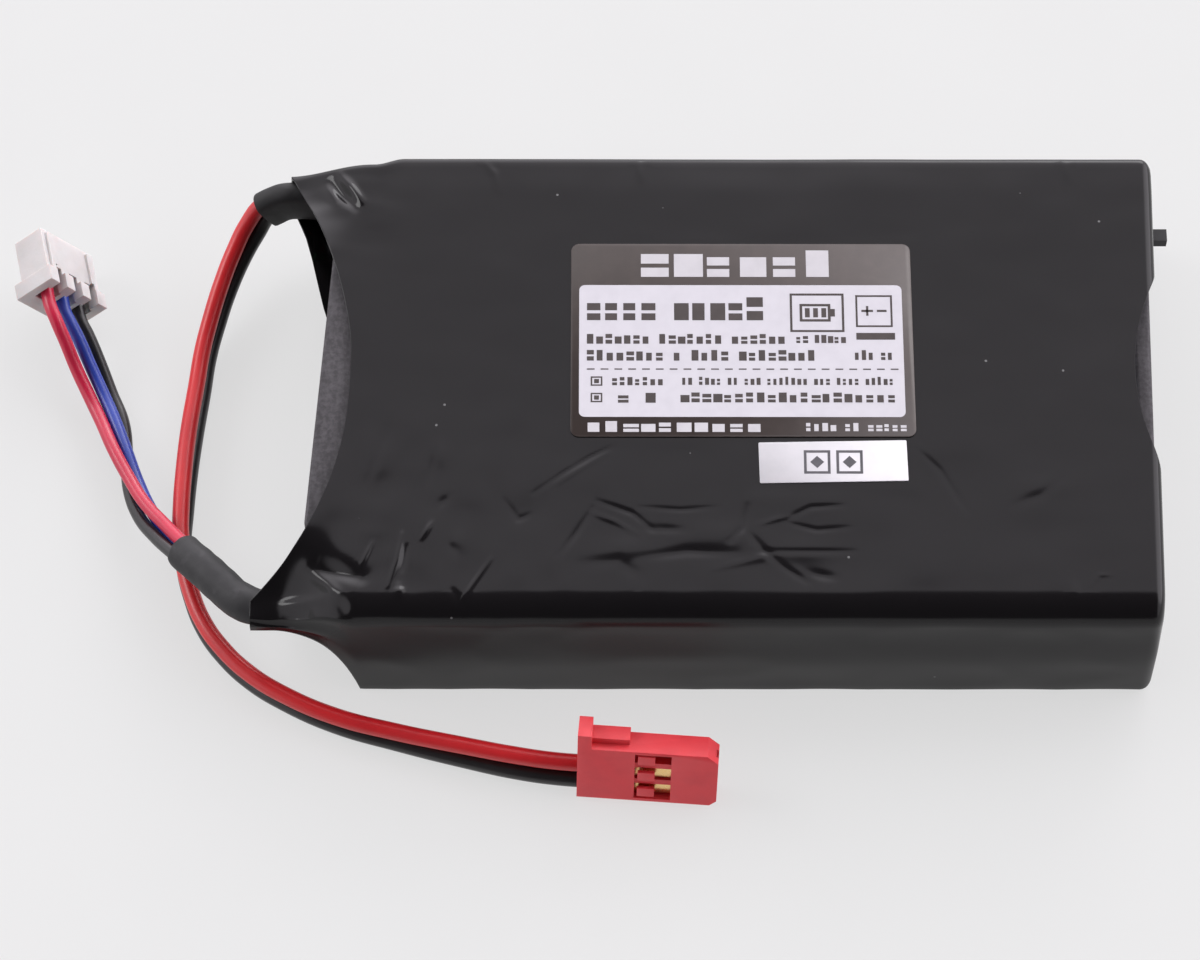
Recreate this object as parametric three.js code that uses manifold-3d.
// Two-cell receiver battery pack in a shrink-wrap tube, with a servo-type power lead and a
// three-wire balance lead. Millimetres, +Z up, +X along the pack away from its leads.
// The origin is on the surface the pack lies on, under the middle of the wrapped pack.
import * as THREE from 'three';
import { ParametricGeometry } from 'three/addons/geometries/ParametricGeometry.js';
import { mergeVertices } from 'three/addons/utils/BufferGeometryUtils.js';
import Module from 'manifold-3d';

const wasm = await Module();
wasm.setup();

// ---------------------------------------------------------------- driving dimensions
const FRONT_LEAN = 0.75;
const PACK_WIDTH = 54.0;
const PACK_HEIGHT = 16.3;
const PACK_Y = -0.5;                    // middle of the pack's width
const FILM = 0.4;                       // wrap wall
const WRAP_CORNERS = [0.8, 2.2, 0.7, 1.2]; // rounding: back top, front top, front and back bottom
const WRAP_TOP_STEPS = 12;
const WRAP_SIDE_STEPS = 4;
const WRAP_CORNER_STEPS = 3;
const WRAP_LENGTH_STEPS = 12;
const WRAP_FOLD_STEPS = 5;

const LEAD_MOUTH_X = -38.0;             // wrap mouth at the lead end, at its deepest
const LEAD_MOUTH_Y = 3.0;
const FRONT_EAR_REACH = 9.8;            // how far each ear stands past the mouth
const REAR_EAR_REACH = 11.0;
const LOWER_LIP_REACH = 1.2;
const FRONT_EAR = { low: 7.0, high: 11.4, inward: 2.4, bulge: 0 };
const REAR_EAR = { low: 7.5, high: 13.2, inward: 0, bulge: 1.0 };
const FAR_MOUTH_X = 42.7;               // far mouth where it is deepest
const FAR_EDGE_X = 45.1;                // the wrap folds over the far end here
const FAR_SKEW = 0.025;                 // and the end is a little skew
const FAR_FOLD_RADIUS = 1.2;
const FAR_FOLD_TAIL = 1.6;

const CELL_X = [-31.4, 42.6];
const CELL_Y = -0.15;
const CELL_WIDTH = 51.4;
const CELL_THICKNESS = 7.2;
const CELL_CORNER = 1.4;
const LOWER_CELL_Z = 0.75;
const UPPER_CELL_Z = 8.35;
const SEAL_X = -34.6;                   // end of the pouch's flat front seal
const SEAL_THICKNESS = 0.8;
const TAB_WIDTH = 8;
const TAB_THICKNESS = 0.25;

const BOARD = { x: [-40.4, -36.0], halfLength: 18.5, z: 7.75, thickness: 0.8 };
const BOARD_TOP = BOARD.z + BOARD.thickness;

const POWER_WIRE = 1.8;                 // outside diameters of the insulated wires
const BALANCE_WIRE = 1.4;
const WIRE_SIDES = 8;

// ---------------------------------------------------------------- materials
const finish = (color, roughness, metalness = 0) =>
  new THREE.MeshStandardMaterial({ color, roughness, metalness });
const BLACK_FILM = 0x363437;
const POUCH_SILVER = 0xb9bbbd;
const FIBRE_GREY = 0x57565a;
const PLUG_RED = 0xc4404a;
const PLUG_WHITE = 0xddd9da;
const GOLD = 0xd7b478;
const WIRE_RED = 0xc82a30;
const WIRE_BLACK = 0x1d1c1d;

// ---------------------------------------------------------------- helpers
const smooth = (v) => {
  const t = Math.min(1, Math.max(0, v));
  return t * t * (3 - 2 * t);
};

const box = (x, y, z) =>
  new THREE.BoxGeometry(x[1] - x[0], y[1] - y[0], z[1] - z[0]).translate(
    (x[0] + x[1]) / 2, (y[0] + y[1]) / 2, (z[0] + z[1]) / 2);

// A closed geometry as a manifold solid, for joining and cutting.
function solid(geometry) {
  const bare = geometry.clone();
  bare.deleteAttribute('normal');
  bare.deleteAttribute('uv');
  const merged = mergeVertices(bare, 1e-4);
  return new wasm.Manifold(new wasm.Mesh({
    numProp: 3,
    vertProperties: new Float32Array(merged.attributes.position.array),
    triVerts: new Uint32Array(merged.index.array),
  }));
}

function geometryOf(manifold) {
  const mesh = manifold.getMesh();
  const geometry = new THREE.BufferGeometry();
  geometry.setAttribute('position', new THREE.BufferAttribute(mesh.vertProperties, 3));
  geometry.setIndex(new THREE.BufferAttribute(mesh.triVerts, 1));
  return geometry;
}

const joined = (first, ...rest) =>
  geometryOf(rest.reduce((sum, g) => sum.add(solid(g)), solid(first)));
const cut = (first, ...rest) =>
  geometryOf(rest.reduce((left, g) => left.subtract(solid(g)), solid(first)));

// A rectangle with round corners in the shape plane.
function roundedOutline(path, x0, x1, y0, y1, r) {
  path.moveTo(x1, y0 + r);
  path.lineTo(x1, y1 - r);
  path.absarc(x1 - r, y1 - r, r, 0, Math.PI / 2, false);
  path.lineTo(x0 + r, y1);
  path.absarc(x0 + r, y1 - r, r, Math.PI / 2, Math.PI, false);
  path.lineTo(x0, y0 + r);
  path.absarc(x0 + r, y0 + r, r, Math.PI, 1.5 * Math.PI, false);
  path.lineTo(x1 - r, y0);
  path.absarc(x1 - r, y0 + r, r, 1.5 * Math.PI, 2 * Math.PI, false);
  return path;
}

// Turns an extrusion made in the XY plane into one that runs along +X with its outline in YZ.
const alongX = new THREE.Matrix4().makeBasis(
  new THREE.Vector3(0, 1, 0), new THREE.Vector3(0, 0, 1), new THREE.Vector3(1, 0, 0));

function barAlongX(x, y, z, r, curveSegments = 3) {
  const shape = roundedOutline(new THREE.Shape(), y[0], y[1], z[0], z[1], r);
  const settings = { depth: x[1] - x[0], bevelEnabled: false, curveSegments };
  const geometry = new THREE.ExtrudeGeometry(shape, settings);
  return geometry.applyMatrix4(alongX).translate(x[0], 0, 0);
}

// A flat plate with round corners, standing on z0.
function plate(x, y, z0, thickness, r) {
  const shape = roundedOutline(new THREE.Shape(), x[0], x[1], y[0], y[1], r);
  const settings = { depth: thickness, bevelEnabled: false, curveSegments: 4 };
  return new THREE.ExtrudeGeometry(shape, settings).translate(0, 0, z0);
}

const curveThrough = (points) =>
  new THREE.CatmullRomCurve3(points.map((p) => new THREE.Vector3(...p)), false, 'centripetal');

function polygon(path, radius, sides) {
  for (let i = 0; i < sides; i += 1) {
    const a = (2 * Math.PI * (i + 0.5)) / sides;
    const point = [radius * Math.cos(a), radius * Math.sin(a)];
    if (i === 0) path.moveTo(...point);
    else path.lineTo(...point);
  }
  path.closePath();
  return path;
}

// A wire: an eight-sided tube with a step every two and a half diameters or so.
function wire(points, diameter) {
  const path = curveThrough(points);
  const steps = Math.round(path.getLength() / (2.4 * diameter));
  const shape = polygon(new THREE.Shape(), diameter / 2, WIRE_SIDES);
  return new THREE.ExtrudeGeometry(shape, { steps, extrudePath: path, bevelEnabled: false });
}

function mesh(name, geometry, material) {
  const piece = new THREE.Mesh(geometry, material);
  piece.name = name;
  return piece;
}

// ---------------------------------------------------------------- shrink wrap
// The section is a rounded box with its long sides divided, so that the mouths can curve.
function wrapSection(inset) {
  const y0 = PACK_Y - PACK_WIDTH / 2 + inset;
  const y1 = PACK_Y + PACK_WIDTH / 2 - inset;
  const z0 = inset;
  const z1 = PACK_HEIGHT - inset;
  const radii = WRAP_CORNERS.map((corner) => corner - inset);
  const [back, front, frontLow, backLow] = radii;
  const centres = [
    [y1 - back, z1 - back], [y0 + front, z1 - front],
    [y0 + frontLow, z0 + frontLow], [y1 - backLow, z0 + backLow],
  ];
  const onCorner = (quarter, part) => {
    const angle = (Math.PI / 2) * (quarter + part);
    const [y, z] = centres[quarter];
    const r = radii[quarter];
    return new THREE.Vector2(y + r * Math.cos(angle), z + r * Math.sin(angle));
  };
  const points = [];
  for (let quarter = 0; quarter < 4; quarter += 1) {
    for (let i = 0; i < WRAP_CORNER_STEPS; i += 1) {
      points.push(onCorner(quarter, i / WRAP_CORNER_STEPS));
    }
    const next = (quarter + 1) % 4;
    const pieces = quarter % 2 === 0 ? WRAP_TOP_STEPS : WRAP_SIDE_STEPS;
    for (let i = 0; i < pieces; i += 1) {
      points.push(onCorner(quarter, 1).lerp(onCorner(next, 0), i / pieces));
    }
  }
  return points;
}

// Where the tube's mouths lie: a deep curve at the lead end, a shallow one at the far end.
function leadMouth(y, z) {
  const front = y < LEAD_MOUTH_Y;
  const reach = front ? FRONT_EAR_REACH : REAR_EAR_REACH;
  const span = PACK_WIDTH / 2 + LEAD_MOUTH_Y - PACK_Y;
  const away = Math.min(1, Math.abs(y - LEAD_MOUTH_Y) / span) ** 1.7;
  const lip = LOWER_LIP_REACH * (1 - z / PACK_HEIGHT) * (1 - away);
  return LEAD_MOUTH_X - lip - reach * away;
}

// How far the wrap reaches at the far end, measured along its surface.
function farReach(y) {
  const cutBack = FAR_MOUTH_X + 0.02 * (y - 1) ** 2;
  const edge = FAR_EDGE_X + FAR_SKEW * y;
  const folded = edge + (Math.PI / 2 - 1) * FAR_FOLD_RADIUS + FAR_FOLD_TAIL;
  return Math.min(cutBack, folded);
}

// The wrap runs flat up to the fold, turns in over the end and stops.
function farFold(reach, y, inset) {
  const bend = FAR_EDGE_X + FAR_SKEW * y - FAR_FOLD_RADIUS;
  if (reach <= bend) return { x: reach, inwards: 0 };
  const angle = Math.min(Math.PI / 2, (reach - bend) / FAR_FOLD_RADIUS);
  const tail = reach - bend - angle * FAR_FOLD_RADIUS;
  const r = FAR_FOLD_RADIUS - inset;
  return { x: bend + r * Math.sin(angle), inwards: r * (1 - Math.cos(angle)) + tail };
}

// A point of the wrap: y and z on the plain section, and a row from the lead mouth onwards.
function wrapPoint({ x: y, y: z }, row, inset, target) {
  const start = leadMouth(y, z);
  const end = farReach(y);
  const flatEnd = Math.min(end, FAR_EDGE_X + FAR_SKEW * y - FAR_FOLD_RADIUS) - 0.3;
  const flat = Math.min(1, row / WRAP_LENGTH_STEPS);
  const fold = Math.max(0, row - WRAP_LENGTH_STEPS) / WRAP_FOLD_STEPS;
  const reach = start + (flatEnd - start) * flat ** 1.8 + (end - flatEnd) * fold;
  const { x, inwards } = farFold(reach, y, inset);
  const ear = y < PACK_Y ? FRONT_EAR : REAR_EAR;
  const across = Math.abs(y - PACK_Y);
  const squeeze = smooth((-36.5 - x) / 9) * smooth((across - 16) / 10);
  const lift = smooth((-37.5 - x) / 5) * smooth((across - 17.5) / 5.5);
  const top = PACK_HEIGHT + (ear.high - PACK_HEIGHT) * squeeze;
  const bottom = ear.low * lift;
  const belly = ear.bulge * (1 - (2 * z / PACK_HEIGHT - 1) ** 2);
  const inward = Math.sign(y - PACK_Y) * (belly - ear.inward) * squeeze;
  const narrow = 1 - inwards / (PACK_WIDTH / 2);
  const low = 1 - inwards / (PACK_HEIGHT / 2);
  const height = bottom + (z / PACK_HEIGHT) * (top - bottom);
  const lean = FRONT_LEAN * smooth((z - 4) / 10) * smooth((PACK_Y - 20 - y) / 6.5);
  target.set(x, PACK_Y + (y + inward + lean - PACK_Y) * narrow,
    PACK_HEIGHT / 2 + (height - PACK_HEIGHT / 2) * low);
}

// The tube's wall is one closed surface: along the outside to the far mouth, back inside.
function shrinkWrap() {
  const outside = wrapSection(0);
  const inside = wrapSection(FILM);
  const round = outside.length;
  const last = WRAP_LENGTH_STEPS + WRAP_FOLD_STEPS;
  const there = 2 * last + 2;
  const surface = (u, v, target) => {
    const around = Math.round(u * round) % round;
    const step = Math.round(v * there) % there;
    if (step <= last) wrapPoint(outside[around], step, 0, target);
    else wrapPoint(inside[around], there - 1 - step, FILM, target);
  };
  const geometry = new ParametricGeometry(surface, round, there);
  return mesh('shrink_wrap', geometry, finish(BLACK_FILM, 0.42));
}

// ---------------------------------------------------------------- label and sticker
const LABEL = { x: 2.3, y: 4.9, length: 35.3, width: 22.9, corner: 0.9, thickness: 0.12 };
const STICKER = { x: 11.4, y: -9.4, length: 15.1, width: 4.7, thickness: 0.1, turn: 0.019 };
const LABEL_GAP = 0.02;

function stickerPlate({ length, width, thickness, corner = 0.15 }) {
  return plate([-length / 2, length / 2], [-width / 2, width / 2], 0, thickness, corner);
}

function labels() {
  const label = mesh('rating_label', stickerPlate(LABEL), finish(0x463c3a, 0.35));
  label.position.set(LABEL.x, LABEL.y, PACK_HEIGHT + LABEL_GAP);
  const sticker = mesh('date_sticker', stickerPlate(STICKER), finish(0xe4e2e6, 0.6));
  sticker.position.set(STICKER.x, STICKER.y, PACK_HEIGHT + LABEL_GAP);
  sticker.rotation.z = STICKER.turn;
  return [label, sticker];
}

// ---------------------------------------------------------------- cells
function pouchCell(name, z0) {
  const y0 = CELL_Y - CELL_WIDTH / 2;
  const y1 = CELL_Y + CELL_WIDTH / 2;
  const middle = z0 + CELL_THICKNESS / 2;
  const body = barAlongX(CELL_X, [y0, y1], [z0, z0 + CELL_THICKNESS], CELL_CORNER);
  const seal = box([SEAL_X, CELL_X[0] + 1], [y0 + 1.5, y1 - 1.5],
    [middle - SEAL_THICKNESS / 2, middle + SEAL_THICKNESS / 2]);
  const fold = (side) => box([CELL_X[0] + 0.6, CELL_X[1] - 0.6],
    side < 0 ? [y0 - 0.5, y0 + 0.4] : [y1 - 0.4, y1 + 0.5],
    [z0 + 1.6, z0 + CELL_THICKNESS - 1.6]);
  return mesh(name, joined(body, seal, fold(-1), fold(1)), finish(POUCH_SILVER, 0.35, 0.6));
}

// A tab leaves the seal, turns towards the board and lies flat against its face.
function cellTab(name, y, sealZ, faceZ, color) {
  const towards = Math.sign(faceZ - sealZ);
  const t = TAB_THICKNESS;
  const bendX = SEAL_X - 0.8;
  const endX = -37.8;
  const outline = [
    [SEAL_X - 0.15, sealZ - (towards * t) / 2], [SEAL_X - 0.15, sealZ + (towards * t) / 2],
    [bendX + t / 2, sealZ + (towards * t) / 2], [bendX + t / 2, faceZ],
    [endX, faceZ], [endX, faceZ - towards * t],
    [bendX - t / 2, faceZ - towards * t], [bendX - t / 2, sealZ - (towards * t) / 2],
  ];
  const shape = new THREE.Shape(outline.map((p) => new THREE.Vector2(...p)));
  const geometry = new THREE.ExtrudeGeometry(shape, { depth: TAB_WIDTH, bevelEnabled: false });
  geometry.rotateX(Math.PI / 2).translate(0, y + TAB_WIDTH / 2, 0);
  return mesh(name, geometry, finish(color, 0.3, 0.9));
}

function cells() {
  const tabGap = 0.15;
  const lowerSeal = LOWER_CELL_Z + CELL_THICKNESS / 2;
  const upperSeal = UPPER_CELL_Z + CELL_THICKNESS / 2;
  const under = BOARD.z - tabGap;
  const over = BOARD_TOP + tabGap;
  const half = CELL_WIDTH / 2 - 2;
  const tapeZ = [LOWER_CELL_Z + CELL_THICKNESS + 0.08, UPPER_CELL_Z - 0.08];
  const tape = box([CELL_X[0] + 3, CELL_X[1] - 3], [CELL_Y - half, CELL_Y + half], tapeZ);
  return [
    pouchCell('cell_lower', LOWER_CELL_Z),
    pouchCell('cell_upper', UPPER_CELL_Z),
    mesh('cell_bond_tape', tape, finish(0xe9e6dc, 0.8)),
    cellTab('cell_lower_tab_positive', 5.2, lowerSeal, under, 0xcfd1d3),
    cellTab('cell_lower_tab_negative', -6.2, lowerSeal, under, 0xb98a5a),
    cellTab('cell_upper_tab_positive', -6.2, upperSeal, over, 0xcfd1d3),
    cellTab('cell_upper_tab_negative', 5.2, upperSeal, over, 0xb98a5a),
  ];
}

// ---------------------------------------------------------------- end pads, board and tapes
// The fibre pads at the lead end stand a little skew past the mouth of the wrap.
function leadPad(name, z0, z1) {
  const shape = new THREE.Shape([
    new THREE.Vector2(-35.9, -17.3), new THREE.Vector2(-35.9, 16.4),
    new THREE.Vector2(-39.6, 16.4), new THREE.Vector2(-40.2, 15.8),
    new THREE.Vector2(-42.3, -16.0), new THREE.Vector2(-41.4, -17.0),
  ]);
  const geometry = new THREE.ExtrudeGeometry(shape, { depth: z1 - z0, bevelEnabled: false });
  return mesh(name, geometry.translate(0, 0, z0), finish(FIBRE_GREY, 0.95));
}

// The far pad follows the skew of the end.
function farPad() {
  const outer = (y) => 44.5 + FAR_SKEW * y;
  const shape = new THREE.Shape([
    new THREE.Vector2(42.9, -25.0), new THREE.Vector2(outer(-25.0), -25.0),
    new THREE.Vector2(outer(24.0), 24.0), new THREE.Vector2(42.9, 24.0),
  ]);
  const geometry = new THREE.ExtrudeGeometry(shape, { depth: 14.2, bevelEnabled: false });
  return mesh('far_end_pad', geometry.translate(0, 0, 1.0), finish(FIBRE_GREY, 0.95));
}

function solderJoint(name, x, y, radius) {
  const profile = [[0, 0], [radius, 0], [radius * 0.8, radius * 0.45], [radius * 0.35, radius * 0.78]];
  const points = profile.map((p) => new THREE.Vector2(...p));
  points.push(new THREE.Vector2(0, radius * 0.85));
  const geometry = new THREE.LatheGeometry(points, 12).rotateX(Math.PI / 2);
  const joint = mesh(name, geometry, finish(0xc9cbd0, 0.25, 0.9));
  joint.position.set(x, y, BOARD_TOP + 0.05);
  return joint;
}

function endFittings() {
  const board = plate(BOARD.x, [-BOARD.halfLength, BOARD.halfLength], BOARD.z, BOARD.thickness, 0.5);
  const tape = joined(box([45.25, 45.45], [17.5, 22.4], [4.4, 12.0]),
    box([45.35, 47.8], [20.9, 22.3], [8.4, 9.6]));
  return [
    leadPad('lead_end_pad_lower', 0.9, 6.9),
    leadPad('lead_end_pad_upper', 10.7, 15.5),
    farPad(),
    mesh('far_end_tape', tape, finish(0x1c1b1c, 0.7)),
    mesh('terminal_board', board, finish(0x2f6b46, 0.5)),
    mesh('tab_insulating_tape', box([-37.7, -36.3], [-11.2, 10.2], [9.06, 9.16]), finish(0xc9902f, 0.3)),
    solderJoint('solder_power_positive', -37.4, 11.5, 1.0),
    solderJoint('solder_power_negative', -39.5, 13.5, 0.85),
    solderJoint('solder_balance_positive', -39.6, -15.2, 0.7),
    solderJoint('solder_balance_middle', -38.2, -13.4, 0.7),
    solderJoint('solder_balance_negative', -36.8, -11.9, 0.7),
  ];
}

// ---------------------------------------------------------------- leads
const POWER_RED_ROUTE = [
  [-37.4, 12.7, 9.55], [-37.4, 17.0, 9.6], [-37.8, 21.0, 10.2], [-39.2, 24.0, 11.0],
  [-42.0, 25.3, 11.35], [-44.0, 25.3, 11.35], [-46.2, 25.35, 10.95], [-48.4, 25.1, 9.7],
  [-50.0, 23.8, 8.0], [-51.4, 21.5, 6.4], [-52.8, 18.0, 5.0], [-53.8, 14.6, 4.0],
  [-54.6, 11.0, 3.3], [-55.1, 7.0, 2.9], [-55.7, 1.6, 2.85], [-56.0, -3.2, 2.85],
  [-56.1, -7.3, 2.85], [-56.0, -10.8, 2.85], [-55.6, -13.8, 2.85], [-54.8, -17.0, 2.85],
  [-53.3, -20.8, 2.85], [-51.2, -23.9, 2.85], [-48.3, -26.8, 2.85], [-44.7, -29.2, 2.85],
  [-39.3, -31.7, 2.9], [-33.2, -33.5, 3.1], [-26.5, -35.2, 3.6], [-20.5, -36.6, 4.0],
  [-16.5, -37.24, 4.1], [-12.4, -37.54, 4.1],
];
const POWER_BLACK_ROUTE = [
  [-39.5, 14.6, 9.55], [-39.5, 18.0, 9.5], [-39.7, 21.0, 9.3], [-40.5, 23.5, 9.25],
  [-42.2, 25.05, 9.4], [-44.0, 25.3, 9.4], [-46.0, 25.3, 9.0], [-47.7, 25.0, 7.95],
  [-49.0, 23.8, 6.3], [-50.5, 21.7, 4.75], [-52.1, 18.3, 3.25], [-53.2, 14.9, 2.2],
  [-54.1, 11.2, 1.4], [-54.6, 7.0, 0.97], [-55.2, 1.6, 0.95], [-55.6, -3.2, 0.95],
  [-55.8, -7.3, 0.95], [-55.9, -10.8, 0.95], [-55.6, -13.8, 0.95], [-54.8, -17.0, 0.95],
  [-53.3, -20.8, 0.95], [-51.2, -23.9, 0.95], [-48.3, -26.8, 0.95], [-44.7, -29.2, 0.95],
  [-39.3, -31.8, 0.95], [-33.2, -33.7, 0.95], [-26.5, -35.6, 1.1], [-20.5, -37.2, 1.5],
  [-16.5, -37.86, 1.63], [-12.4, -38.16, 1.63],
];
const POWER_SLEEVE_ROUTE = [
  [-43.0, 25.25, 10.38], [-44.2, 25.3, 10.37], [-46.0, 25.32, 10.0], [-47.7, 25.1, 9.05],
];

const BALANCE_RED_ROUTE = [
  [-39.6, -16.1, 9.4], [-39.6, -18.0, 9.5], [-40.6, -20.4, 9.75], [-42.6, -21.8, 9.86],
  [-45.1, -22.0, 9.86], [-47.0, -21.9, 9.75], [-48.9, -20.9, 9.46], [-50.8, -18.8, 8.84],
  [-53.0, -16.4, 8.02], [-55.1, -14.0, 6.87], [-57.4, -11.0, 5.41], [-59.8, -7.8, 4.29],
  [-61.7, -4.4, 3.55], [-63.5, -0.8, 3.1], [-65.0, 2.8, 2.4], [-66.4, 5.8, 2.4],
  [-67.8, 8.5, 3.56], [-68.9, 10.7, 5.56], [-69.8, 12.4, 7.05], [-70.6, 14.3, 7.52],
  [-71.2, 17.3, 7.29],
];
const BALANCE_BLUE_ROUTE = [
  [-38.2, -14.3, 9.4], [-38.25, -17.4, 9.35], [-39.3, -20.6, 8.8], [-41.6, -22.2, 8.42],
  [-45.0, -22.2, 8.4], [-46.9, -22.1, 8.3], [-48.8, -21.2, 8.02], [-50.8, -19.2, 7.42],
  [-52.9, -16.9, 6.62], [-55.0, -14.5, 5.5], [-57.2, -11.4, 4.0], [-59.3, -7.8, 2.9],
  [-60.9, -4.2, 2.35], [-62.3, -0.4, 2.25], [-63.7, 3.3, 2.05], [-65.1, 6.5, 2.1],
  [-66.5, 9.4, 2.9], [-67.8, 12.0, 4.3], [-68.75, 13.6, 5.25], [-69.2, 14.5, 5.48],
  [-69.8, 17.45, 5.25],
];
const BALANCE_BLACK_ROUTE = [
  [-36.8, -12.8, 9.4], [-36.7, -17.2, 9.4], [-37.9, -21.4, 9.4], [-41.3, -23.2, 9.3],
  [-45.1, -23.4, 9.3], [-47.3, -23.2, 9.2], [-49.6, -22.0, 8.91], [-51.7, -19.8, 8.3],
  [-53.9, -17.5, 7.48], [-56.1, -15.0, 6.34], [-58.4, -12.0, 4.48], [-60.5, -8.5, 2.51],
  [-61.8, -4.7, 1.25], [-62.3, -0.5, 0.78], [-62.9, 3.6, 0.8], [-64.3, 7.1, 0.83],
  [-65.6, 10.3, 1.63], [-66.9, 13.1, 2.78], [-67.75, 14.66, 3.44], [-68.35, 17.6, 3.2],
];
const BALANCE_SLEEVE_ROUTE = [
  [-43.2, -22.5, 9.2], [-45.0, -22.5, 9.19], [-47.1, -22.4, 9.08], [-49.1, -21.4, 8.79],
  [-51.1, -19.3, 8.19], [-53.2, -16.95, 7.37], [-55.4, -14.5, 6.24],
];
const POWER_SLEEVE = { outer: 1.36, inner: 1.19, halfSpacing: 0.98 };
const BALANCE_SLEEVE = { outer: 1.95, inner: 1.72, sides: 12, steps: 7 };

// The power sleeve is oval round two wires, one above the other.
function ovalOutline(path, radius) {
  const reach = POWER_SLEEVE.halfSpacing;
  path.absarc(reach, 0, radius, -Math.PI / 2, Math.PI / 2, false);
  path.absarc(-reach, 0, radius, Math.PI / 2, 1.5 * Math.PI, false);
  path.closePath();
  return path;
}

function powerSleeve() {
  const shape = ovalOutline(new THREE.Shape(), POWER_SLEEVE.outer);
  shape.holes.push(ovalOutline(new THREE.Path(), POWER_SLEEVE.inner));
  const settings = { steps: 5, extrudePath: curveThrough(POWER_SLEEVE_ROUTE), curveSegments: 6 };
  const geometry = new THREE.ExtrudeGeometry(shape, { ...settings, bevelEnabled: false });
  return mesh('power_lead_sleeve', geometry, finish(0x333335, 0.8));
}

function balanceSleeve() {
  const { outer, inner, sides, steps } = BALANCE_SLEEVE;
  const shape = polygon(new THREE.Shape(), outer, sides);
  shape.holes.push(polygon(new THREE.Path(), inner, sides));
  const settings = { steps, extrudePath: curveThrough(BALANCE_SLEEVE_ROUTE), bevelEnabled: false };
  const geometry = new THREE.ExtrudeGeometry(shape, settings);
  return mesh('balance_lead_sleeve', geometry, finish(0x353537, 0.85));
}

function leads() {
  return [
    mesh('power_lead_red', wire(POWER_RED_ROUTE, POWER_WIRE), finish(WIRE_RED, 0.35)),
    mesh('power_lead_black', wire(POWER_BLACK_ROUTE, POWER_WIRE), finish(WIRE_BLACK, 0.35)),
    powerSleeve(),
    mesh('balance_lead_red', wire(BALANCE_RED_ROUTE, BALANCE_WIRE), finish(0xc02f4b, 0.35)),
    mesh('balance_lead_blue', wire(BALANCE_BLUE_ROUTE, BALANCE_WIRE), finish(0x3c5096, 0.35)),
    mesh('balance_lead_black', wire(BALANCE_BLACK_ROUTE, BALANCE_WIRE), finish(WIRE_BLACK, 0.35)),
    balanceSleeve(),
  ];
}

// ---------------------------------------------------------------- power plug
// Local axes: X from the wire end to the mating end, -Y the face with the windows, Z across
// the three positions. The plug stands on its lower back edge and leans back.
const POWER_PLUG = { length: 14.2, width: 7.8, thickness: 2.6, pitch: 2.54, first: 1.36 };
const POWER_PLUG_AT = [-14.52, -37.07, 0.02];
const POWER_PLUG_LEAN = THREE.MathUtils.degToRad(-14);
const POWER_PLUG_TURN = THREE.MathUtils.degToRad(-4.2);
const WINDOW = { x: [5.8, 9.5], depth: 0.5 };
const TONGUE = { x: [6.1, 7.85], width: 1.3, thickness: 0.4 };

function powerPlugBody() {
  const { length, width, thickness, pitch, first } = POWER_PLUG;
  const corner = 0.7;
  const chamfer = 1.1;
  const outline = [
    [0, 0], [length - corner, 0], [length, corner], [length, width - chamfer],
    [length - chamfer, width], [0, width],
  ];
  const shape = new THREE.Shape(outline.map((p) => new THREE.Vector2(...p)));
  const body = new THREE.ExtrudeGeometry(shape, { depth: thickness, bevelEnabled: false });
  body.rotateX(Math.PI / 2);
  const flange = box([0, 1.4], [-thickness, 0], [width - 0.5, width + 2.0]);
  const rail = box([1.0, 5.2], [-1.7, 0], [width - 0.4, width + 0.75]);
  const cuts = [];
  for (let i = 0; i < 3; i += 1) {
    const z = first + i * pitch;
    cuts.push(box([-0.1, 3.6], [-2.32, -0.28], [z - 1.05, z + 1.05]));
    cuts.push(box([3.5, length - 0.9], [-2.1, -0.5], [z - 0.9, z + 0.9]));
    cuts.push(box([length - 1, length + 0.1], [-1.8, -0.8], [z - 0.5, z + 0.5]));
  }
  cuts.push(box(WINDOW.x, [-thickness - 0.1, -thickness + WINDOW.depth], [0.4, 7.4]));
  return cut(joined(body, flange, rail), ...cuts);
}

function powerContact() {
  const crimp = box([2.6, 5.8], [-1.85, -0.75], [-0.6, 0.6]);
  const socket = box([5.6, 12.8], [-1.88, -0.72], [-0.68, 0.68]);
  const mouth = box([11.0, 12.9], [-1.6, -1.0], [-0.35, 0.35]);
  return cut(joined(crimp, socket), mouth);
}

function powerPlug() {
  const { thickness, pitch, first } = POWER_PLUG;
  const plug = new THREE.Group();
  plug.position.set(...POWER_PLUG_AT);
  plug.rotation.set(POWER_PLUG_LEAN, 0, POWER_PLUG_TURN, 'ZYX');
  plug.add(mesh('power_plug_housing', powerPlugBody(), finish(PLUG_RED, 0.45)));
  ['negative', 'positive'].forEach((pole, i) => {
    const contact = mesh(`power_contact_${pole}`, powerContact(), finish(GOLD, 0.25, 1));
    contact.position.z = first + i * pitch;
    plug.add(contact);
  });
  ['lower', 'middle', 'upper'].forEach((place, i) => {
    const z = first + i * pitch;
    const half = TONGUE.width / 2;
    const y = [-thickness, -thickness + TONGUE.thickness];
    const tongue = box(TONGUE.x, y, [z - half, z + half]);
    plug.add(mesh(`power_latch_${place}`, tongue, finish(PLUG_RED, 0.45)));
  });
  return plug;
}

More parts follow.
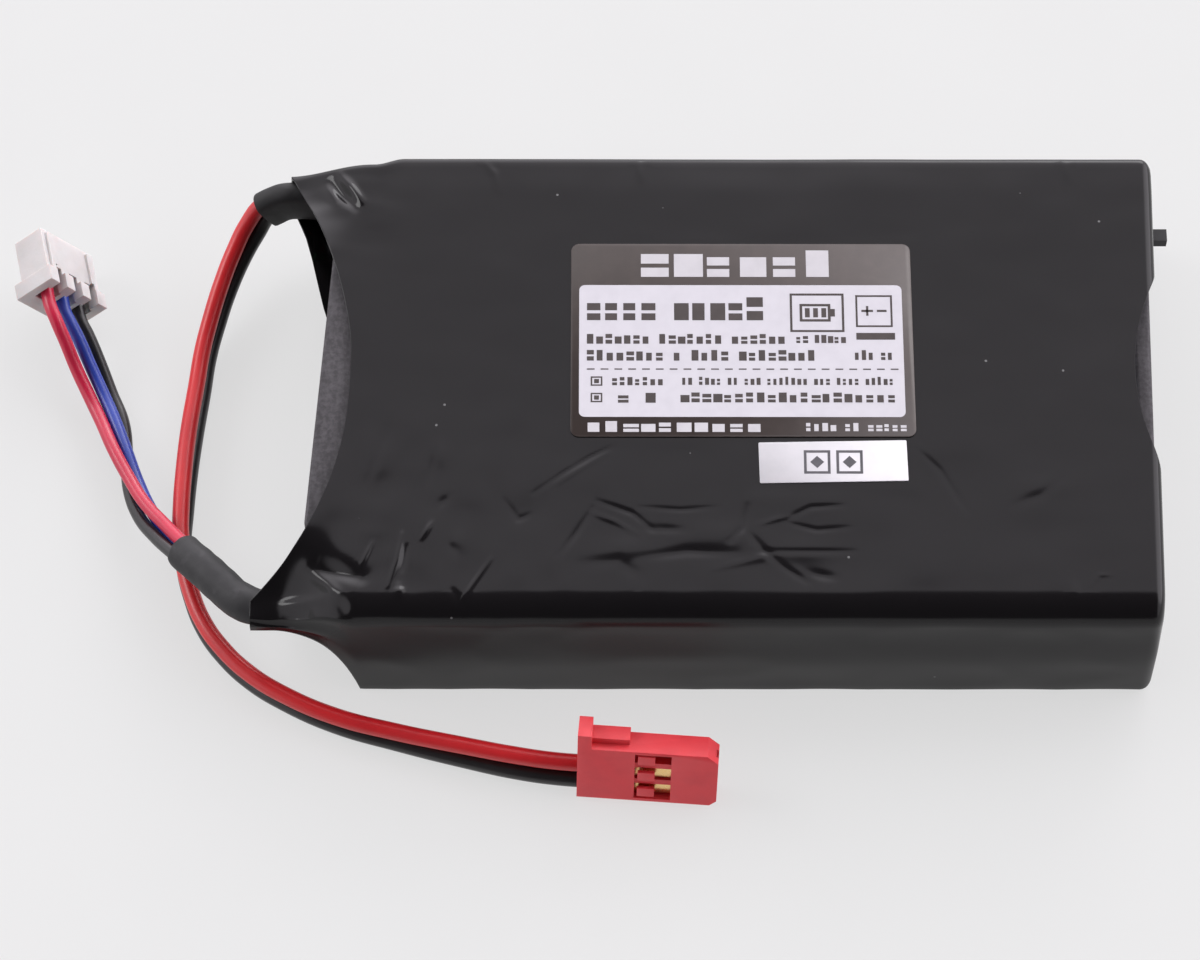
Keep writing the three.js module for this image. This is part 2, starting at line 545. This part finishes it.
// ---------------------------------------------------------------- balance plug
// Local axes: X across the three positions, Y from the wire end to the mating end.
const BALANCE_PLUG_AT = [-69.4, 15.5, 5.42];
const BALANCE_PLUG_TURN = THREE.MathUtils.degToRad(12.4);
const BALANCE_PLUG_NOSE = THREE.MathUtils.degToRad(-4.4);
const BALANCE_PLUG_ROLL = THREE.MathUtils.degToRad(55);
const BALANCE_PITCH = 2.5;

function balancePlugBody() {
  const flange = box([-4.5, 4.5], [0, 1.9], [-2.65, 2.3]);
  const insert = box([-4.2, 4.2], [1.5, 7.1], [-1.85, 1.85]);
  const ribs = [-3.2, 3.2].map((x) => box([x - 0.45, x + 0.45], [1.5, 6.6], [1.5, 2.2]));
  const cuts = [-1, 0, 1].flatMap((i) => {
    const x = i * BALANCE_PITCH;
    return [
      box([x - 0.95, x + 0.95], [-0.1, 6.2], [-0.95, 0.95]),
      box([x - 0.45, x + 0.45], [6, 7.2], [-0.45, 0.45]),
      box([x - 0.6, x + 0.6], [-0.1, 2.6], [0.8, 2.4]),
      box([x - 0.45, x + 0.45], [3.6, 5.0], [-1.95, -0.8]),
    ];
  });
  return cut(joined(flange, insert, ...ribs), ...cuts);
}

function balanceContact() {
  const crimp = box([-0.5, 0.5], [2.2, 3.9], [-0.5, 0.5]);
  const socket = box([-0.62, 0.62], [3.7, 5.9], [-0.62, 0.62]);
  const mouth = box([-0.33, 0.33], [4.4, 6.0], [-0.33, 0.33]);
  return cut(joined(crimp, socket), mouth);
}

function balancePlug() {
  const plug = new THREE.Group();
  plug.position.set(...BALANCE_PLUG_AT);
  plug.rotation.set(BALANCE_PLUG_NOSE, BALANCE_PLUG_ROLL, BALANCE_PLUG_TURN, 'ZXY');
  plug.add(mesh('balance_plug_housing', balancePlugBody(), finish(PLUG_WHITE, 0.4)));
  ['positive', 'middle', 'negative'].forEach((pole, i) => {
    const contact = mesh(`balance_contact_${pole}`, balanceContact(), finish(GOLD, 0.3, 1));
    contact.position.x = (i - 1) * BALANCE_PITCH;
    plug.add(contact);
  });
  return plug;
}

// ---------------------------------------------------------------- the pack
const pack = new THREE.Group();
pack.add(shrinkWrap(), ...labels(), ...cells(), ...endFittings(), ...leads());
pack.add(powerPlug(), balancePlug());

export default pack;
